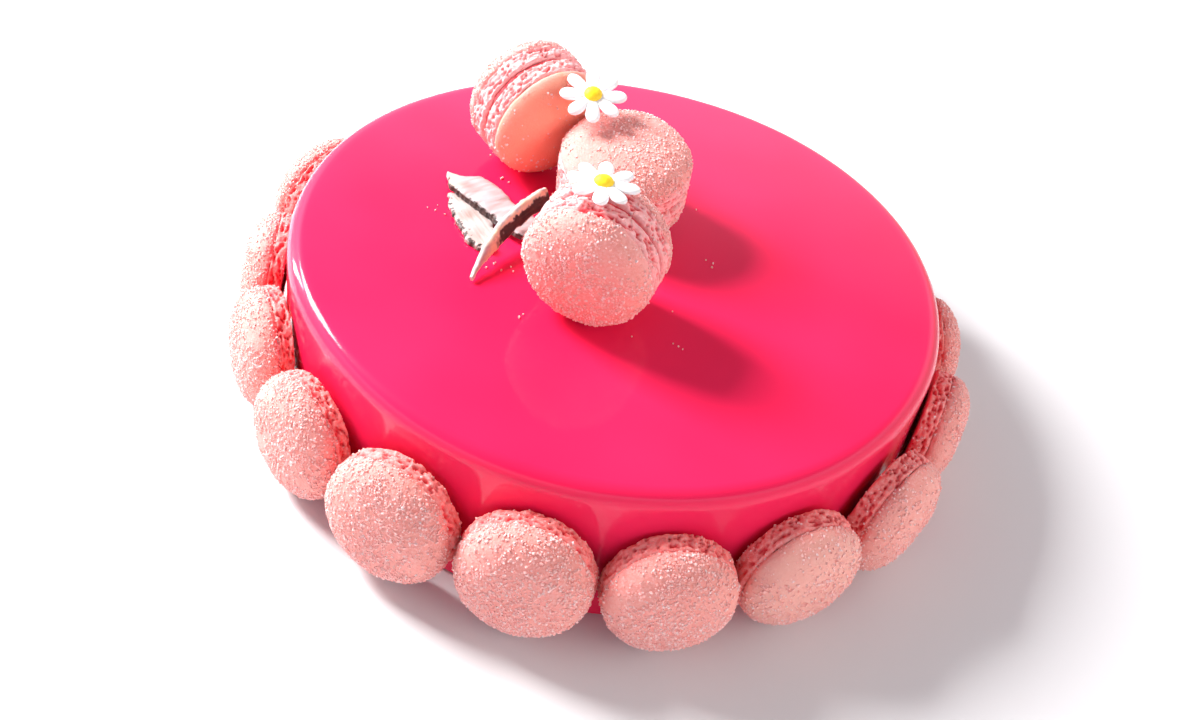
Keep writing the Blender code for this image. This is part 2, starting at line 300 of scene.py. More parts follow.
def mix_colour(nodes, links, factor, a, b):
    """A blend from a to b, each a colour or a node's output."""
    node = nodes.new("ShaderNodeMix")
    node.data_type = "RGBA"
    links.new(factor, node.inputs["Factor"])
    for value, key in ((a, MIX_A), (b, MIX_B)):
        if isinstance(value, tuple):
            node.inputs[key].default_value = (*value, 1)
        else:
            links.new(value, node.inputs[key])
    return node.outputs[MIX_RESULT]


def attribute(nodes, name):
    node = nodes.new("ShaderNodeAttribute")
    node.attribute_name = name
    return node.outputs["Fac"]


def bump(nodes, links, shader, height, strength, distance):
    node = nodes.new("ShaderNodeBump")
    node.inputs["Strength"].default_value = strength
    node.inputs["Distance"].default_value = distance
    links.new(height, node.inputs["Height"])
    links.new(node.outputs["Normal"], shader.inputs["Normal"])


def glaze_material():
    """A hot pink base under a clear smooth coat, with a faint ripple."""
    material, nodes, links, shader = new_material("mirror_glaze")
    broad = noise_node(nodes, links, 14, 2.0)
    colour = ramp(nodes, links, broad, [(0.30, (0.85, 0.011, 0.072)), (0.72, (0.88, 0.020, 0.098))])
    links.new(colour, shader.inputs["Base Color"])
    shader.inputs["Roughness"].default_value = 0.35
    shader.inputs["Specular IOR Level"].default_value = 0.05
    shader.inputs["Coat Weight"].default_value = 1.0
    shader.inputs["Coat Roughness"].default_value = 0.08
    shader.inputs["Coat IOR"].default_value = 1.35
    ripple = noise_node(nodes, links, 45, 1.0)
    bump(nodes, links, shader, ripple, 0.12, 0.0006)
    return material


def cells(nodes, links, scale):
    """Small rounded cells, as of a sugared crust. scale is in cells per metre."""
    where = nodes.new("ShaderNodeTexCoord")
    node = nodes.new("ShaderNodeTexVoronoi")
    node.inputs["Scale"].default_value = scale
    links.new(where.outputs["Object"], node.inputs["Vector"])
    tone = nodes.new("ShaderNodeSeparateColor")
    links.new(node.outputs["Color"], tone.inputs["Color"])
    return node.outputs["Distance"], tone.outputs["Red"]


def shell_material():
    """A macaron shell: sugared crust on the cap, streaked ridges on the foot, painted shade in dark red in
    its pores, cracks and scars, and a paler foot painted as if lit on the top shells.
    """
    material, nodes, links, shader = new_material("macaron_shell_crust")
    fine = noise_node(nodes, links, 900, 3.0, 0.65)
    patch = noise_node(nodes, links, 90, 2.0)
    distance, tone = cells(nodes, links, 1900)
    crust = ramp(nodes, links, tone, [(0.0, (0.80, 0.28, 0.24)), (0.5, (0.84, 0.34, 0.30)),
                                      (0.85, (0.86, 0.40, 0.365)), (1.0, (0.89, 0.49, 0.46))])
    blush = mix_colour(nodes, links, patch, crust, (0.85, 0.345, 0.295))
    salmon = mix_colour(nodes, links, attribute(nodes, "salmon"), blush, (0.95, 0.335, 0.215))
    ridges = ramp(nodes, links, fine, [(0.35, (0.92, 0.19, 0.18)), (0.55, (0.95, 0.31, 0.285)),
                                       (0.75, (0.97, 0.46, 0.43))])
    # Painted light: a paler copy of the foot colour, as if lit, for the top shells' feet
    lit_foot_copy = ramp(nodes, links, fine, [(0.35, (0.91, 0.40, 0.39)), (0.55, (0.93, 0.47, 0.46)),
                                      (0.75, (0.95, 0.54, 0.54))])
    foot = mix_colour(nodes, links, attribute(nodes, "top_painted_lit"), ridges, lit_foot_copy)
    cream = mix_colour(nodes, links, attribute(nodes, "cream"), salmon, (0.84, 0.45, 0.375))
    base = mix_colour(nodes, links, attribute(nodes, "foot"), cream, foot)
    # Painted shade: dark red in the feet's pores, cracks and hollows, and on the scars, scaled by each coat's
    # depth
    colour = mix_colour(nodes, links, attribute(nodes, "pore"), base, (0.80, 0.045, 0.06))
    links.new(colour, shader.inputs["Base Color"])
    shader.inputs["Roughness"].default_value = 0.65
    shader.inputs["Subsurface Weight"].default_value = 0.35
    shader.inputs["Subsurface Radius"].default_value = (0.003, 0.001, 0.0008)
    bump(nodes, links, shader, distance, 0.35, -0.0003)
    return material


def filling_material():
    material, nodes, links, shader = new_material("macaron_filling_red")
    fine = noise_node(nodes, links, 500, 2.0)
    colour = ramp(nodes, links, fine, [(0.3, (0.62, 0.03, 0.05)), (0.7, (0.80, 0.12, 0.13))])
    links.new(colour, shader.inputs["Base Color"])
    shader.inputs["Roughness"].default_value = 0.4
    bump(nodes, links, shader, fine, 0.4, 0.0004)
    return material


def sugar_material():
    """Sugar crystals, each of one tone, that light passes into."""
    material, nodes, links, shader = new_material("sugar_grains")
    tones = [(0.0, (0.88, 0.42, 0.38)), (0.5, (0.91, 0.50, 0.465)),
             (0.85, (0.935, 0.60, 0.575)), (0.97, (0.955, 0.72, 0.71))]
    links.new(ramp(nodes, links, attribute(nodes, "tone"), tones), shader.inputs["Base Color"])
    shader.inputs["Roughness"].default_value = 0.45
    shader.inputs["Specular IOR Level"].default_value = 0.35
    shader.inputs["Subsurface Weight"].default_value = 0.7
    shader.inputs["Subsurface Radius"].default_value = (0.0009, 0.0007, 0.0007)
    return material


def petal_material():
    material, nodes, links, shader = new_material("sugar_petals_white")
    fine = noise_node(nodes, links, 260, 2.0)
    colour = ramp(nodes, links, fine, [(0.3, (0.84, 0.83, 0.82)), (0.7, (0.92, 0.915, 0.91))])
    links.new(colour, shader.inputs["Base Color"])
    shader.inputs["Roughness"].default_value = 0.4
    shader.inputs["Subsurface Weight"].default_value = 0.3
    shader.inputs["Subsurface Radius"].default_value = (0.0015, 0.0012, 0.001)
    bump(nodes, links, shader, fine, 0.2, 0.0003)
    return material


def centre_material():
    material, nodes, links, shader = new_material("sugar_centre_yellow")
    fine = noise_node(nodes, links, 1100, 2.0)
    colour = ramp(nodes, links, fine, [(0.35, (0.94, 0.60, 0.012)), (0.65, (0.97, 0.70, 0.022))])
    links.new(colour, shader.inputs["Base Color"])
    shader.inputs["Roughness"].default_value = 0.5
    bump(nodes, links, shader, fine, 0.15, 0.0003)
    return material


def coconut_material():
    """Pale fibrous flesh, tan towards its edges, with remains of the dark skin."""
    material, nodes, links, shader = new_material("coconut_flesh_and_skin")
    grain = noise_node(nodes, links, 420, 3.0, 0.6)
    flesh = ramp(nodes, links, attribute(nodes, "fibre"),
                 [(0.0, (0.34, 0.24, 0.225)), (0.45, (0.50, 0.405, 0.40)), (1.0, (0.62, 0.54, 0.55))])
    skin = ramp(nodes, links, grain, [(0.35, (0.018, 0.004, 0.003)), (0.7, (0.060, 0.018, 0.012))])
    tan = mix_colour(nodes, links, attribute(nodes, "tan"), flesh, (0.84, 0.60, 0.36))
    colour = mix_colour(nodes, links, attribute(nodes, "skin"), tan, skin)
    links.new(colour, shader.inputs["Base Color"])
    shader.inputs["Roughness"].default_value = 0.45
    shader.inputs["Subsurface Weight"].default_value = 0.2
    shader.inputs["Subsurface Radius"].default_value = (0.0015, 0.001, 0.0008)
    bump(nodes, links, shader, grain, 0.4, 0.0003)
    return material


# Cake
def build_cake(material):
    """The glazed cake, in rings of points from near the middle of its base to near that of its top."""
    columns, wall_rings, fillet_rings = 288, 14, 15
    base_rings = [(-60.0, 0.0), (-1.2, 0.0), (-0.6, 0.15), (-0.15, 0.6), (0.0, 1.2)]
    top_insets = (1.5, 4, 8, 14, 22, 32, 44, 58, 72, 84, 92)
    sag_depth, sag_width, pulled_in, sag_seed = 0.22, 22, 0.1, 5
    angle = round_angles(columns)
    steps = base_rings + [(0.0, z) for z in np.linspace(3.0, CAKE_HEIGHT - CAKE_FILLET - 1.0, wall_rings)]
    for k in range(fillet_rings):
        turn = math.radians(90.0 * k / (fillet_rings - 1))
        steps.append((-CAKE_FILLET * (1 - math.cos(turn)), CAKE_HEIGHT - CAKE_FILLET * (1 - math.sin(turn))))
    steps += [(-CAKE_FILLET - inset, CAKE_HEIGHT) for inset in top_insets]
    rows = []
    for out, height in steps:
        radius = CAKE_RADIUS + rim_offset(angle) + out
        rows.append(np.stack([radius * np.cos(angle), radius * np.sin(angle), np.full(columns, height)], 1))
    points = np.concatenate(rows)
    wall = np.clip(np.minimum(points[:, 2] / 8, (CAKE_HEIGHT - points[:, 2]) / 3), 0, 1)
    sag = sag_depth * noise(points * (1, 1, 0.5), sag_width, sag_seed) * wall
    length = np.hypot(points[:, 0], points[:, 1])[:, None]
    points[:, :2] += points[:, :2] / length * (sag - pulled_in * wall)[:, None]
    count = len(points)
    points = np.concatenate([[[0, 0, 0]], points, [[0, 0, CAKE_HEIGHT]]])
    quads = grid_faces(len(steps), columns) + 1
    k = np.arange(columns)
    n = (k + 1) % columns
    low = np.stack([np.zeros(columns, int), 1 + n, 1 + k], 1)
    top = 1 + (len(steps) - 1) * columns
    high = np.stack([top + k, top + n, np.full(columns, count + 1)], 1)
    make_object("cake_glazed", points, [quads, low, high], material, ["cake"])


# Macarons
def pore_holes(foot, draw, scars):
    """Each hole in a foot: its angle and height, and its half width and half height."""
    holes = []
    for _ in range(PORES_UNDER_CAP):
        holes.append((draw.uniform(0, math.tau), foot * draw.normal(0.76, 0.06),
                      draw.uniform(0.5, 1.5), draw.uniform(0.30, 0.58)))
    for _ in range(PORES_ALL_OVER):
        holes.append((draw.uniform(0, math.tau), foot * draw.uniform(0.10, 0.84),
                      draw.uniform(0.32, 0.80), draw.uniform(0.26, 0.48)))
    return holes + [(at, foot * share, wide, tall) for at, share, wide, tall in scars]


def foot_band(radius, foot, draw, columns, rows, layered, scars):
    """The ruffled foot: flaky ridges with open pores and cracks, tucked in at its base and under the cap, and
    marks for painted shade in dark red in its pores, cracks and deepest hollows.
    """
    angle = round_angles(columns)
    a, t = np.meshgrid(angle, np.linspace(0.0, 1.0, rows))
    ring = np.stack([radius * np.cos(a), radius * np.sin(a), t * foot], -1)
    shift = draw.integers(0, 1000)
    wave = sum(draw.uniform(0.4, 1) * np.sin(n * a + draw.uniform(0, 6.3)) for n in (5, 7, 9, 11, 14)) / 3.4
    rough = noise(ring * (1, 1, 1.3), 0.9, shift + 6)
    ridge = 0.34 * noise(ring * (1, 1, 1.9), 3.0, shift + 1)
    ridge += 0.34 * noise(ring * (1, 1, 1.6), 1.5, shift + 2)
    out = -1.3 * np.clip(1 - t / 0.10, 0, 1) ** 2 - 0.9 * np.clip((t - 0.86) / 0.14, 0, 1) ** 1.5
    out += 0.24 * wave - 0.12
    out += ridge + 0.20 * rough
    layer = t - 0.45 - 0.13 * noise(ring * (1, 1, 0.1), 5.0, shift + 3)
    broken = np.clip(0.4 + 1.2 * noise(ring * (1, 1, 0.2), 3.0, shift + 4), 0, 1)
    crack = np.exp(-(layer / 0.06) ** 2) * broken
    pore = np.zeros_like(a)
    for centre, middle, wide, tall in pore_holes(foot, draw, scars):
        gap = angle_between(a, centre)
        d = (gap * radius / wide) ** 2 + ((t * foot - middle) / tall) ** 2 + 0.55 * rough
        pore = np.maximum(pore, draw.uniform(0.6, 1.0) * np.exp(-np.maximum(d, 0) ** 1.6))
    crack *= 0.35 + 0.65 * layered
    out -= 1.15 * pore + 0.45 * crack
    r = np.minimum(radius + out, radius * 1.002)
    height = np.clip(t * foot + 0.25 * wave * np.sin(math.pi * t), 0, foot)
    points = np.stack([r * np.cos(a), r * np.sin(a), height], -1)
    # Painted shade: the pores, cracks and deepest hollows are marked to be painted dark red
    hollow_shade = 0.5 * np.clip(-out - 0.75, 0, 0.6) * (t > 0.1)
    pore_shade = np.clip(np.maximum(1.15 * pore, 0.75 * crack) + hollow_shade, 0, 1)
    back = np.stack([0.6 * radius * np.cos(angle), 0.6 * radius * np.sin(angle), np.zeros(columns)], -1)
    verts = np.concatenate([back, points.reshape(-1, 3)])
    pores = np.concatenate([np.zeros(columns), pore_shade.ravel()])
    return verts, grid_faces(rows + 1, columns), pores


def dome_cap(radius, foot, dome, draw):
    """The domed cap above the groove, slightly lumpy, with a rolled, uneven lower edge."""
    angle = round_angles(CAP_COLUMNS)
    shift = draw.integers(0, 1000)
    stations = [(0.90, -0.15), (0.955, 0.0), (0.985, 0.45)]
    dome_rings = 17
    for k in range(dome_rings):
        turn = math.radians(8 + 80.0 * (k / (dome_rings - 1)) ** 0.9)
        stations.append((math.cos(turn) ** 0.66, dome * math.sin(turn)))
    wave_counts = (2, 3, 5, 8, 13, 19)
    wave = sum(draw.uniform(0.3, 1) * np.sin(n * angle + draw.uniform(0, 6.3)) for n in wave_counts) / 3.2
    rows = []
    for share, height in stations:
        edge = max(0.0, 1 - height / 2.5)
        r = radius * share * (1 + 0.007 * wave) - 0.1
        rows.append(np.stack([r * np.cos(angle), r * np.sin(angle), foot + height + 0.34 * edge * wave], 1))
    verts = np.concatenate(rows + [[[0, 0, foot + dome]]])
    lump = 0.16 * noise(verts, 5.0, shift) + 0.10 * noise(verts, 2.2, shift + 1) - 0.12
    centre = np.array([0, 0, foot - radius * 0.7])
    away = verts - centre
    verts = verts + away / np.linalg.norm(away, axis=1)[:, None] * lump[:, None]
    verts[:, 2] = np.minimum(verts[:, 2], foot + dome)
    last = (len(stations) - 1) * CAP_COLUMNS
    k = np.arange(CAP_COLUMNS)
    fan = np.stack([last + k, last + (k + 1) % CAP_COLUMNS, np.full(CAP_COLUMNS, len(verts) - 1)], 1)
    return verts, grid_faces(len(stations), CAP_COLUMNS), fan


def scar_wounds(verts, radius, foot, scars):
    """How deep in a scar each point of a cap is, from 0 to 1."""
    wound = np.zeros(len(verts))
    for at, share, wide, tall in scars:
        gap = angle_between(np.arctan2(verts[:, 1], verts[:, 0]), at)
        d = (gap * radius / wide) ** 2 + ((verts[:, 2] - foot * share) / tall) ** 2
        wound = np.maximum(wound, np.exp(-d ** 1.5))
    return wound


# The triangles that sugar lies on, by the name of the grains' piece
grain_beds = {}


def build_shell(name, node, place, radius, foot, dome, seed, material, bed, detail,
                density=USUAL_DENSITY, salmon=0.0, cream=0.0, depth=1.0, scars=(), bare=()):
    """One macaron shell, foot and cap, and its triangles kept as a bed for sugar grains."""
    draw = np.random.default_rng(seed)
    # The top shells' feet are painted paler, as if lit, and their cracks are more layered
    top_painted_lit = float(bed == "top")
    foot_verts, foot_quads, pores = foot_band(radius, foot, draw, *detail, top_painted_lit, scars)
    cap_verts, cap_quads, cap_tris = dome_cap(radius, foot, dome, draw)
    wound = scar_wounds(cap_verts, radius, foot, scars)
    cap_verts[:, :2] *= 1 - 0.05 * wound[:, None]
    low_edge = np.clip(1 - (cap_verts[:, 2] - foot) / 4.2, 0, 1) ** 1.4
    edge = (0.85 - 0.3 * top_painted_lit) * low_edge * np.clip(0.8 + noise(cap_verts, 3.0, seed), 0, 1)
    verts = apply(place, np.concatenate([foot_verts, cap_verts]))
    offset = len(foot_verts)
    cap = np.concatenate([np.zeros(offset), np.ones(len(cap_verts))])
    # The scars take the same painted dark red as the pores
    pore = np.concatenate([pores, wound])
    quads = np.concatenate([foot_quads, cap_quads + offset])
    make_object(name, verts, [quads, cap_tris + offset], material, [node],
                attributes={"foot": np.concatenate([np.ones(offset), edge]), "pore": depth * pore,
                            "salmon": cap * salmon, "top_painted_lit": np.full(len(verts), top_painted_lit), "cream": cap * cream})
    tris = np.concatenate([cap_quads[:, [0, 1, 2]], cap_quads[:, [0, 2, 3]], cap_tris]) + offset
    grain_beds.setdefault(bed, []).append((verts[tris], seed, density, bare))
    rim = foot_quads[detail[0]:]
    rim = rim[pore[rim].max(1) < 0.25]
    rim = np.concatenate([rim[:, [0, 1, 2]], rim[:, [0, 2, 3]]])
    grain_beds[bed].append((verts[rim], seed + 1, RIM_DENSITY, ()))


def ring_place(azimuth, distance, height, yaw, tilt, radius, foot):
    """Where a ring shell stands: dome outwards, clear of the cake's wall, and just above its base."""
    a, y, t = math.radians(azimuth), math.radians(yaw), math.radians(tilt)
    out, side = Vector((math.cos(a), math.sin(a), 0)), Vector((-math.sin(a), math.cos(a), 0))
    up = Vector((0, 0, 1))
    facing = math.cos(y) * out + math.sin(y) * side
    across = math.cos(y) * side - math.sin(y) * out
    axis = math.cos(t) * facing + math.sin(t) * up
    rise = math.cos(t) * up - math.sin(t) * facing
    turns = [k * math.pi / 18 for k in range(36)]
    rim = [radius * (math.cos(turn) * across + math.sin(turn) * rise) for turn in turns]
    rounds = 4
    for _ in range(rounds):
        spots = [distance * out + p for p in rim]
        inner = min(p.to_2d().length - float(rim_offset(math.atan2(p.y, p.x))) for p in spots)
        distance += max(0.0, CAKE_RADIUS + WALL_GAP - inner)
    lowest = min(p.z for p in rim) - foot * abs(math.sin(t)) - FOOT_RUFFLE
    height = max(height, BASE_GAP - lowest)
    stance = Matrix((across, rise, axis)).transposed().to_4x4()
    return Matrix.Translation(distance * out + height * up) @ stance


def build_top_macaron(name, centre, azimuth, elevation, radius, foot, dome, seed, shell, filling):
    """Two shells back to back on one axis, with a filling between them."""
    a, e = math.radians(azimuth), math.radians(elevation)
    axis = Vector((math.cos(e) * math.cos(a), math.cos(e) * math.sin(a), math.sin(e)))
    across = Vector((-math.sin(a), math.cos(a), 0))
    rise = axis.cross(across)
    half = FILLING_THICKNESS / 2 + 0.05
    for part, sign in (("outer", 1), ("inner", -1)):
        turn = Matrix((across, sign * rise, sign * axis)).transposed().to_4x4()
        place = Matrix.Translation(Vector(centre) + sign * half * axis) @ turn
        build_shell(f"{name}_shell_{part}", f"{name}_macaron_{part}_shell", place, radius, foot + FOOT_EXTRA,
                    dome, seed + sign, shell, "top", TOP_DETAIL, **TOP_COATS[name, part])
    columns = 160
    profile = ((-6, -1.0), (-0.3, -0.95), (0.05, -0.5), (0.15, 0), (0.05, 0.5), (-0.3, 0.95), (-6, 1.0))
    angle = round_angles(columns)
    circle = np.stack([np.cos(angle), np.sin(angle), 0 * angle], 1) * radius
    rows = []
    for out, height in profile:
        r = radius - FILLING_INSET + out + 0.25 * noise(circle, 3.0, seed)
        level = np.full(columns, height * FILLING_THICKNESS / 2)
        rows.append(np.stack([r * np.cos(angle), r * np.sin(angle), level], 1))
    turn = Matrix((across, rise, axis)).transposed().to_4x4()
    verts = apply(Matrix.Translation(Vector(centre)) @ turn, np.concatenate(rows))
    make_object(f"{name}_filling", verts, grid_faces(len(profile), columns), filling,
                [f"{name}_macaron_filling"])


# Sugar grains
def grains(name, places, normals, sizes, seed, material, sink=0.1, flat=False):
    """Cuboid sugar crystals at true size, one joined mesh. Flat ones lie on a level surface."""
    draw = np.random.default_rng(seed)
    count = len(places)
    q = draw.normal(size=(count, 4))
    if flat:
        q[:, 1:3] = 0
    q /= np.linalg.norm(q, axis=1)[:, None]
    w, x, y, z = q.T
    turn = np.stack([1 - 2 * (y * y + z * z), 2 * (x * y - z * w), 2 * (x * z + y * w),
                     2 * (x * y + z * w), 1 - 2 * (x * x + z * z), 2 * (y * z - x * w),
                     2 * (x * z - y * w), 2 * (y * z + x * w), 1 - 2 * (x * x + y * y)], 1).reshape(-1, 3, 3)
    corner = np.array([(i, j, k) for i in (-0.5, 0.5) for j in (-0.5, 0.5) for k in (-0.5, 0.5)])
    side = sizes[:, None] * draw.uniform(0.65, 1.15, (count, 3))
    shape = corner[None] * side[:, None, :] * draw.uniform(0.8, 1.0, (count, 8, 1))
    verts = np.einsum("nij,nkj->nki", turn, shape) + (places + normals * (sizes * sink)[:, None])[:, None, :]
    if flat:
        verts[:, :, 2] += (places[:, 2] - verts[:, :, 2].min(1))[:, None]
    quad = np.array([(0, 1, 3, 2), (4, 6, 7, 5), (0, 4, 5, 1), (2, 3, 7, 6), (0, 2, 6, 4), (1, 5, 7, 3)])
    faces = (quad[None] + (8 * np.arange(count))[:, None, None]).reshape(-1, 4)
    tone = np.repeat(draw.random(count) ** (0.5 if flat else 1.0), 8)
    make_object(name, verts.reshape(-1, 3), faces, material, smooth=False,
                attributes={"tone": tone})


def scatter(beds, low, high):
    """Points spread over the shells' triangles by area, with their normals and a size for each."""
    places, normals, sizes = [], [], []
    for tris, seed, density, bare in beds:
        draw = np.random.default_rng(seed + SCATTER_SEED)
        cross = np.cross(tris[:, 1] - tris[:, 0], tris[:, 2] - tris[:, 0])
        area = np.linalg.norm(cross, axis=1) / 2
        count = int(area.sum() * density)
        pick = draw.choice(len(tris), count, p=area / area.sum())
        u, v = draw.random(count), draw.random(count)
        flip = u + v > 1
        u[flip], v[flip] = 1 - u[flip], 1 - v[flip]
        t = tris[pick]
        spots = t[:, 0] + u[:, None] * (t[:, 1] - t[:, 0]) + v[:, None] * (t[:, 2] - t[:, 0])
        keep = draw.random(count) < 0.8 + 0.9 * noise(spots, 8.0, seed) + 0.3 * noise(spots, 2.5, seed + 1)
        for middle, reach in bare:
            away = np.linalg.norm(spots - middle, axis=1) / reach
            keep &= draw.random(count) < np.clip(away ** 2, LEAST_KEPT, 1)
        places.append(spots[keep])
        normals.append((cross[pick] / (2 * area[pick])[:, None])[keep])
        sizes.append((low + (high - low) * draw.random(count) ** 1.9)[keep])
    return np.concatenate(places), np.concatenate(normals), np.concatenate(sizes)


def loose_grains(material):
    """Stray crystals lying on the glaze round the toppings."""
    place_seed, shape_seed = 77, 5
    draw = np.random.default_rng(place_seed)
    spots = [(x + draw.normal(0, LOOSE_SPREAD), y + draw.normal(0, LOOSE_SPREAD))
             for x, y in LOOSE_PLACES for _ in range(LOOSE_AT_EACH)]
    spots += [(draw.uniform(-62, 30), draw.uniform(-52, 52)) for _ in range(LOOSE_ELSEWHERE)]
    places = np.array([(x, y, CAKE_HEIGHT) for x, y in spots])
    upward = np.tile((0, 0, 1.0), (len(places), 1))
    sizes = draw.uniform(*LOOSE_SIZES, len(places))
    grains("sugar_grains_loose", places, upward, sizes, shape_seed, material, sink=0, flat=True)


# Daisies
def ellipsoid(rows, columns):
    """Points of a ball of radius 1, from its lowest to its highest."""
    a, b = np.meshgrid(np.linspace(-math.pi / 2, math.pi / 2, rows), round_angles(columns), indexing="ij")
    return np.stack([np.cos(a) * np.cos(b), np.cos(a) * np.sin(b), np.sin(a)], -1).reshape(-1, 3)


def petal(length, width, thick, lift):
    """A puffy finger-shaped petal along +X, narrow at its root and round at its tip."""
    columns, tip_start, tip_reach = 26, 0.66, 0.34
    to_tip = tip_start + tip_reach * np.sin(np.linspace(0.12, 1.0, 9) * math.pi / 2)
    t = np.concatenate([np.linspace(0, tip_start, 9), to_tip])
    body = 0.52 + 0.48 * np.clip(t / 0.62, 0, 1) ** 0.8
    tip = np.sqrt(np.clip(1 - np.clip((t - tip_start) / tip_reach, 0, 1) ** 2.2, 0, 1))
    turn = round_angles(columns)
    dent = 0.10 * thick * np.exp(-(np.cos(turn) / 0.3) ** 2) * (np.sin(turn) > 0)
    puff = np.where(np.sin(turn) > 0, 0.72, 0.28) * np.sign(np.sin(turn)) * np.abs(np.sin(turn)) ** 0.85
    rows = []
    for k in range(len(t)):
        x = np.full(columns, PETAL_ROOT + t[k] * (length - PETAL_ROOT))
        y = 0.5 * width * body[k] * tip[k] * np.cos(turn)
        z = thick * (0.8 + 0.3 * t[k]) * tip[k] ** 0.7 * puff
        rows.append(np.stack([x, y, z - dent * tip[k] + lift * t[k] ** 2], 1))
    verts = np.concatenate([[[PETAL_ROOT, 0, 0]], np.concatenate(rows)])
    k = np.arange(columns)
    n = (k + 1) % columns
    cap = np.stack([np.zeros(columns, int), 1 + k, 1 + n], 1)
    return verts, grid_faces(len(t), columns)[:, ::-1] + 1, cap[:, ::-1]


def build_daisy(name, centre, tilt, first, radius, white, yellow, seed):
    """A sugar daisy: its petals on a hub with a dab of icing under it, and a domed button."""
    draw = np.random.default_rng(seed)
    turn = Matrix.Rotation(math.radians(tilt), 4, "X") @ Matrix.Rotation(math.radians(first), 4, "Z")
    place = Matrix.Translation(Vector(centre)) @ turn
    parts, quads, tris, offset = [], [], [], 0
    for k in range(PETALS):
        verts, quad, tri = petal(radius + draw.uniform(-0.3, 0.1), PETAL_WIDTH + draw.uniform(-0.25, 0.25),
                                 PETAL_THICKNESS, draw.uniform(-0.1, 0.3))
        a = math.radians(360 / PETALS * k + draw.uniform(-2.5, 2.5))
        rot = np.array([[math.cos(a), -math.sin(a), 0], [math.sin(a), math.cos(a), 0], [0, 0, 1]])
        parts.append(verts @ rot.T)
        quads.append(quad + offset)
        tris.append(tri + offset)
        offset += len(verts)
    hub_rows, hub_columns, icing_depth = 15, 26, 3.2
    hub = ellipsoid(hub_rows, hub_columns) * HUB_SIZE
    hub[:, 2] *= np.where(hub[:, 2] < 0, icing_depth, 1.0)
    parts.append(hub)
    quads.append(grid_faces(hub_rows, hub_columns) + offset)
    faces = [np.concatenate(quads), np.concatenate(tris)]
    make_object(f"{name}_daisy_flower", apply(place, np.concatenate(parts)), faces, white,
                [f"{name}_daisy_petals"])
    button_rows, button_columns = 25, 44
    ball = ellipsoid(button_rows, button_columns)
    button = ball * BUTTON_SIZE * (1 + 0.02 * noise(ball, 0.22, seed))[:, None]
    button[:, 2] = np.maximum(button[:, 2], 0) + BUTTON_RISE
    make_object(f"{name}_daisy_button", apply(place, button), grid_faces(button_rows, button_columns), yellow,
                [f"{name}_daisy_centre"])


# Coconut

# Each skin function gives the skin and the tan, underneath and on top, along one line of points across
# a shaving. t is how far along the shaving the line is, w how far across each point is, from 0 to 1,
# inward its distance from the right edge, and torn a noise that makes the skin ragged
def edge_skin(t, w, inward, torn):
    """A line of skin along the right edge, and a cream patch near the start."""
    begins = np.clip((t - 0.05) / 0.04, 0, 1)
    skin = np.clip((0.55 + 0.35 * torn - inward) / 0.25, 0, 1) * begins
    cream = np.exp(-((t - 0.12) / 0.10) ** 2) * np.clip(1.5 - inward / 3.5, 0, 1)
    return np.clip(0.9 - inward, 0, 1) * begins, skin, 0 * w, 0.55 * cream


def flecked_skin(t, w, inward, torn):
    """Flecks of skin that thin out from the right edge, over an even light tan."""
    fleck = np.clip((torn + 0.25 - 0.42 * inward) / 0.3, 0, 1) * (0.75 + 0.25 * torn)
    return 0.9 * fleck, fleck, 0 * w + 0.12, 0 * w + 0.12


def band_skin(t, w, inward, torn):
    """A ragged band of skin over the far part, with tan round it and along the near part."""
    depth = np.minimum((w + 0.02 + 0.05 * torn) * 9, (0.80 - w + 0.14 * torn) * 8)
    begin = (t - 0.36 + 0.05 * torn) * 14
    strip = np.clip(np.minimum(depth, begin), 0, 1)
    near = np.clip(np.minimum(depth + 2.2, begin + 2.0), 0, 1) - strip
    peel = np.clip(0.75 - w, 0, 1) * np.clip((0.55 - t) * 4, 0, 1)
    return 0 * w, strip, 0 * w, np.clip(0.6 * near + 0.8 * peel, 0, 0.8)


SKINS = {"1": edge_skin, "2": flecked_skin, "3": band_skin}


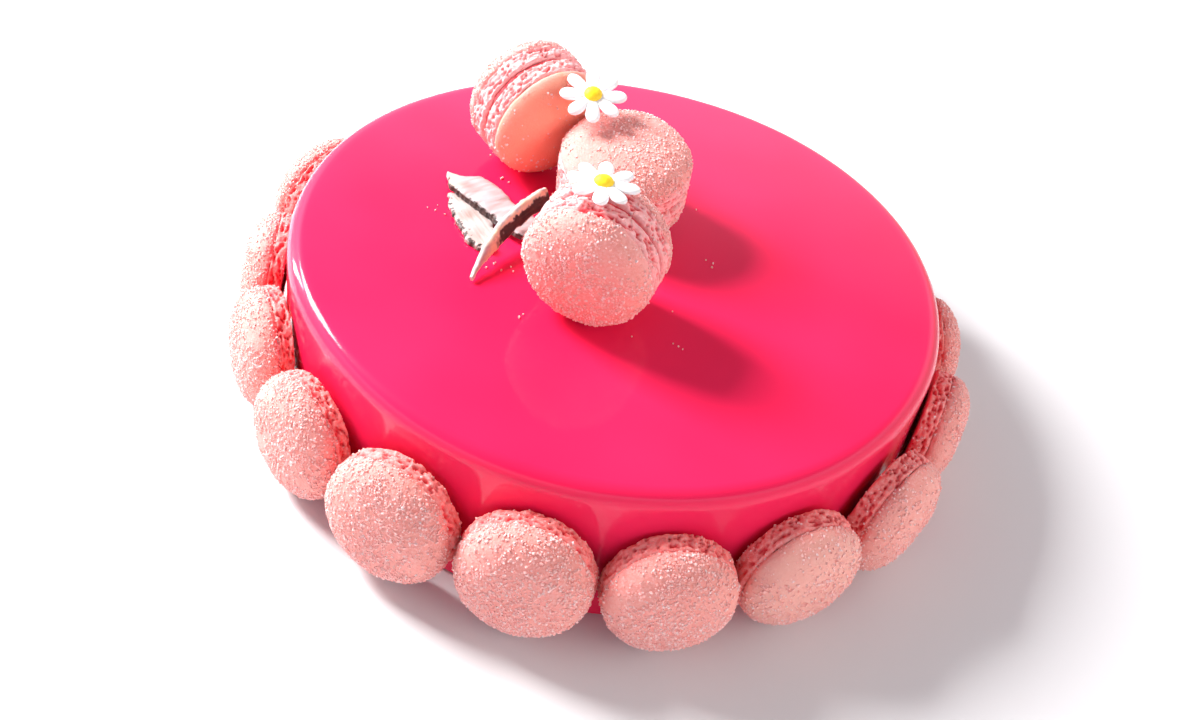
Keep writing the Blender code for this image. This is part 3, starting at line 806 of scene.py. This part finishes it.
def build_shaving(key, spec, material, seed):
    """A fibrous shaving with torn edges, bent along its middle line."""
    start, end, rag = np.array(spec["start"]), np.array(spec["end"]), spec["rag"]
    along = end - start
    side = np.array([-along[1], along[0], 0.0])
    side /= np.linalg.norm(side)
    up = np.array([0, 0, 1.0])
    bank = math.radians(spec["bank"])
    wide = math.cos(bank) * side + math.sin(bank) * up
    deep = math.cos(bank) * up - math.sin(bank) * side
    stations, across, noise_length = 150, 34, 40
    t = np.linspace(0, 1, stations)
    hump = 4 * t * (1 - t)
    middle = start + t[:, None] * along + hump[:, None] * (spec["bow"] * side + spec["arch"] * up)
    line = np.stack([t * noise_length, 0 * t, 0 * t], 1)
    left = np.interp(t, *zip(*spec["left"]))
    left = left + rag * noise(line, 3.0, seed) + 0.5 * rag * noise(line, 1.0, seed + 1)
    right = np.interp(t, *zip(*spec["right"]))
    right = right + rag * noise(line, 3.4, seed + 2) + 0.5 * rag * noise(line, 0.9, seed + 3)
    thick = spec["thickness"] * (0.55 + 0.45 * np.minimum(1.0, np.minimum(3 * t, 6 * (1 - t) + 0.4)))
    w = np.linspace(0, 1, across)
    round_off = 1 - 0.35 * (np.abs(2 * w - 1) ** 6)
    rows, skin, tan = [], [], []
    for i in range(stations):
        x = -right[i] + (left[i] + right[i]) * w
        low = middle[i] + x[:, None] * wide + (0.06 * thick[i] * (1 - round_off))[:, None] * deep
        face = middle[i] + (x * 0.98)[:, None] * wide + (thick[i] * round_off)[:, None] * deep
        rows.append(np.concatenate([low, face[::-1]]))
        spot = np.stack([np.full(across, t[i] * noise_length), x, 0 * x], 1)
        torn = noise(spot, 1.3, seed + 6) + 0.6 * noise(spot, 0.6, seed + 7)
        low_skin, top_skin, low_tan, top_tan = SKINS[key](t[i], w, x + right[i], torn)
        skin.append(np.concatenate([low_skin, top_skin[::-1]]))
        tan.append(np.concatenate([low_tan, top_tan[::-1]]))
    verts = np.concatenate(rows)
    basis = np.stack([along / np.linalg.norm(along), wide, deep], 1)
    local = (verts - start) @ basis
    threads = noise(local * spec["threads"], 0.8, seed + 4)
    swell = noise(local, 4.5, seed + 5)
    verts = verts + (0.07 * threads + 0.22 * swell)[:, None] * deep
    verts[:, 2] = np.maximum(verts[:, 2], CAKE_HEIGHT + 0.1)
    fibre = np.clip(0.55 + 0.35 * threads + 0.35 * swell, 0, 1)
    count = 2 * across
    first_cap = np.array([list(range(count))[::-1]])
    last_cap = np.array([[(stations - 1) * count + k for k in range(count)]])
    make_object(f"coconut_curl_{key}", verts, [grid_faces(stations, count), first_cap, last_cap], material,
                [f"coconut_shaving_{key}"], sharp=50,
                attributes={"skin": np.concatenate(skin), "tan": np.concatenate(tan), "fibre": fibre})


# Floor, light and camera
def build_floor():
    material, _, _, shader = new_material("pale_floor")
    shader.inputs["Base Color"].default_value = (0.78, 0.775, 0.77, 1)
    shader.inputs["Roughness"].default_value = 0.7
    shader.inputs["Specular IOR Level"].default_value = 0.2
    mesh = bpy.data.meshes.new("studio_floor")
    corners = [(x * FLOOR_REACH, y * FLOOR_REACH, 0) for x, y in ((-1, -1), (1, -1), (1, 1), (-1, 1))]
    mesh.from_pydata(corners, [], [(0, 1, 2, 3)])
    mesh.materials.append(material)
    floor = bpy.data.objects.new("studio_floor", mesh)
    bpy.context.scene.collection.objects.link(floor)


def direction(azimuth, elevation):
    a, e = math.radians(azimuth), math.radians(elevation)
    return Vector((math.cos(e) * math.cos(a), math.cos(e) * math.sin(a), math.sin(e)))


def sky_colour(height, level):
    """The sky's colour: nearly neutral, and bluer in the band that the glaze mirrors."""
    if BLUER_BAND[0] < height < BLUER_BAND[1]:
        return 0.95 * level, 0.965 * level, 1.23 * level
    return level, 0.965 * level, 0.93 * level


def build_world():
    """A sky that changes with height, with a soft glow to one side."""
    world = bpy.data.worlds.new("studio")
    world.use_nodes = True
    nodes, links = world.node_tree.nodes, world.node_tree.links
    where = nodes.new("ShaderNodeTexCoord")
    toward = nodes.new("ShaderNodeVectorMath")
    toward.operation = "DOT_PRODUCT"
    toward.inputs[1].default_value = direction(GLOW_AZIMUTH, GLOW_ELEVATION)
    links.new(where.outputs["Generated"], toward.inputs[0])
    heights = nodes.new("ShaderNodeSeparateXYZ")
    links.new(where.outputs["Generated"], heights.inputs["Vector"])
    sky = ramp(nodes, links, heights.outputs["Z"], [(z, sky_colour(z, level)) for z, level in SKY_LEVELS])
    glow = ramp(nodes, links, toward.outputs["Value"], [(0.6, (0.0, 0.0, 0.0)), (1.0, (0.6, 0.59, 0.58))])
    total = nodes.new("ShaderNodeMix")
    total.data_type, total.blend_type = "RGBA", "ADD"
    total.inputs["Factor"].default_value = 1.0
    links.new(sky, total.inputs[MIX_A])
    links.new(glow, total.inputs[MIX_B])
    links.new(total.outputs[MIX_RESULT], nodes["Background"].inputs["Color"])
    nodes["Background"].inputs["Strength"].default_value = 1.0
    bpy.context.scene.world = world


def area_light(name, azimuth, elevation, distance, size, power, colour, reflected):
    """A panel aimed at the cake, that either lights surfaces or shows in reflections."""
    light = bpy.data.lights.new(name, "AREA")
    light.shape, light.size, light.size_y = "RECTANGLE", size[0], size[1]
    light.energy, light.color = power, colour
    lamp = bpy.data.objects.new(name, light)
    lamp.location = Vector(AIM) + distance * direction(azimuth, elevation)
    lamp.rotation_euler = direction(azimuth, elevation).to_track_quat("Z", "Y").to_euler()
    lamp.visible_glossy, lamp.visible_diffuse = reflected, not reflected
    bpy.context.scene.collection.objects.link(lamp)


def build_camera():
    lens = bpy.data.cameras.new("camera")
    lens.sensor_fit, lens.sensor_width = "HORIZONTAL", SENSOR_WIDTH
    lens.lens = FOCAL_PIXELS / IMAGE_WIDTH * SENSOR_WIDTH
    lens.clip_start, lens.clip_end = 0.01, 20
    camera = bpy.data.objects.new("camera", lens)
    bpy.context.scene.collection.objects.link(camera)
    turn = Matrix((Vector(CAMERA_RIGHT), Vector(CAMERA_TOP), -Vector(CAMERA_VIEW))).transposed().to_4x4()
    camera.matrix_world = Matrix.Translation(CAMERA_PLACE) @ turn
    bpy.context.scene.camera = camera


# The build, with the first seed of each kind of piece
RING_SEED, TOP_SEED, GRAIN_SEED, DAISY_SEED, SHAVING_SEED = 100, 300, 11, 40, 70
GRAIN_PIECES_ROUND_RING = 4
glaze, shell, filling, sugar = glaze_material(), shell_material(), filling_material(), sugar_material()
white, yellow, coconut = petal_material(), centre_material(), coconut_material()
build_cake(glaze)
for i, row in enumerate(RING):
    build_shell(f"ring_shell_{i + 1:02d}", f"ring_macaron_{i + 1:02d}", ring_place(*row[:7]), *row[5:],
                RING_SEED + i, shell, f"ring_{i % GRAIN_PIECES_ROUND_RING + 1}", RING_DETAIL,
                **THIN_COATS.get(i + 1, {}))
for i, (name, row) in enumerate(TOP_MACARONS.items()):
    build_top_macaron(name, *row, TOP_SEED + 10 * i, shell, filling)
for i, (name, beds) in enumerate(grain_beds.items()):
    grains(f"sugar_grains_{name}", *scatter(beds, *GRAIN_SIZES), GRAIN_SEED + i, sugar)
loose_grains(sugar)
for i, (name, row) in enumerate(DAISIES.items()):
    build_daisy(name, *row, white, yellow, DAISY_SEED + i)
for i, (key, spec) in enumerate(SHAVINGS.items()):
    build_shaving(key, spec, coconut, SHAVING_SEED + 10 * i)

build_floor()
build_world()
for name, lamp in SOFT_LAMPS.items():
    area_light(name, *lamp, reflected=False)
for name, lamp in REFLECTED_LAMPS.items():
    area_light(name, *lamp, reflected=True)
build_camera()
bpy.context.scene.view_settings.view_transform = "Standard"
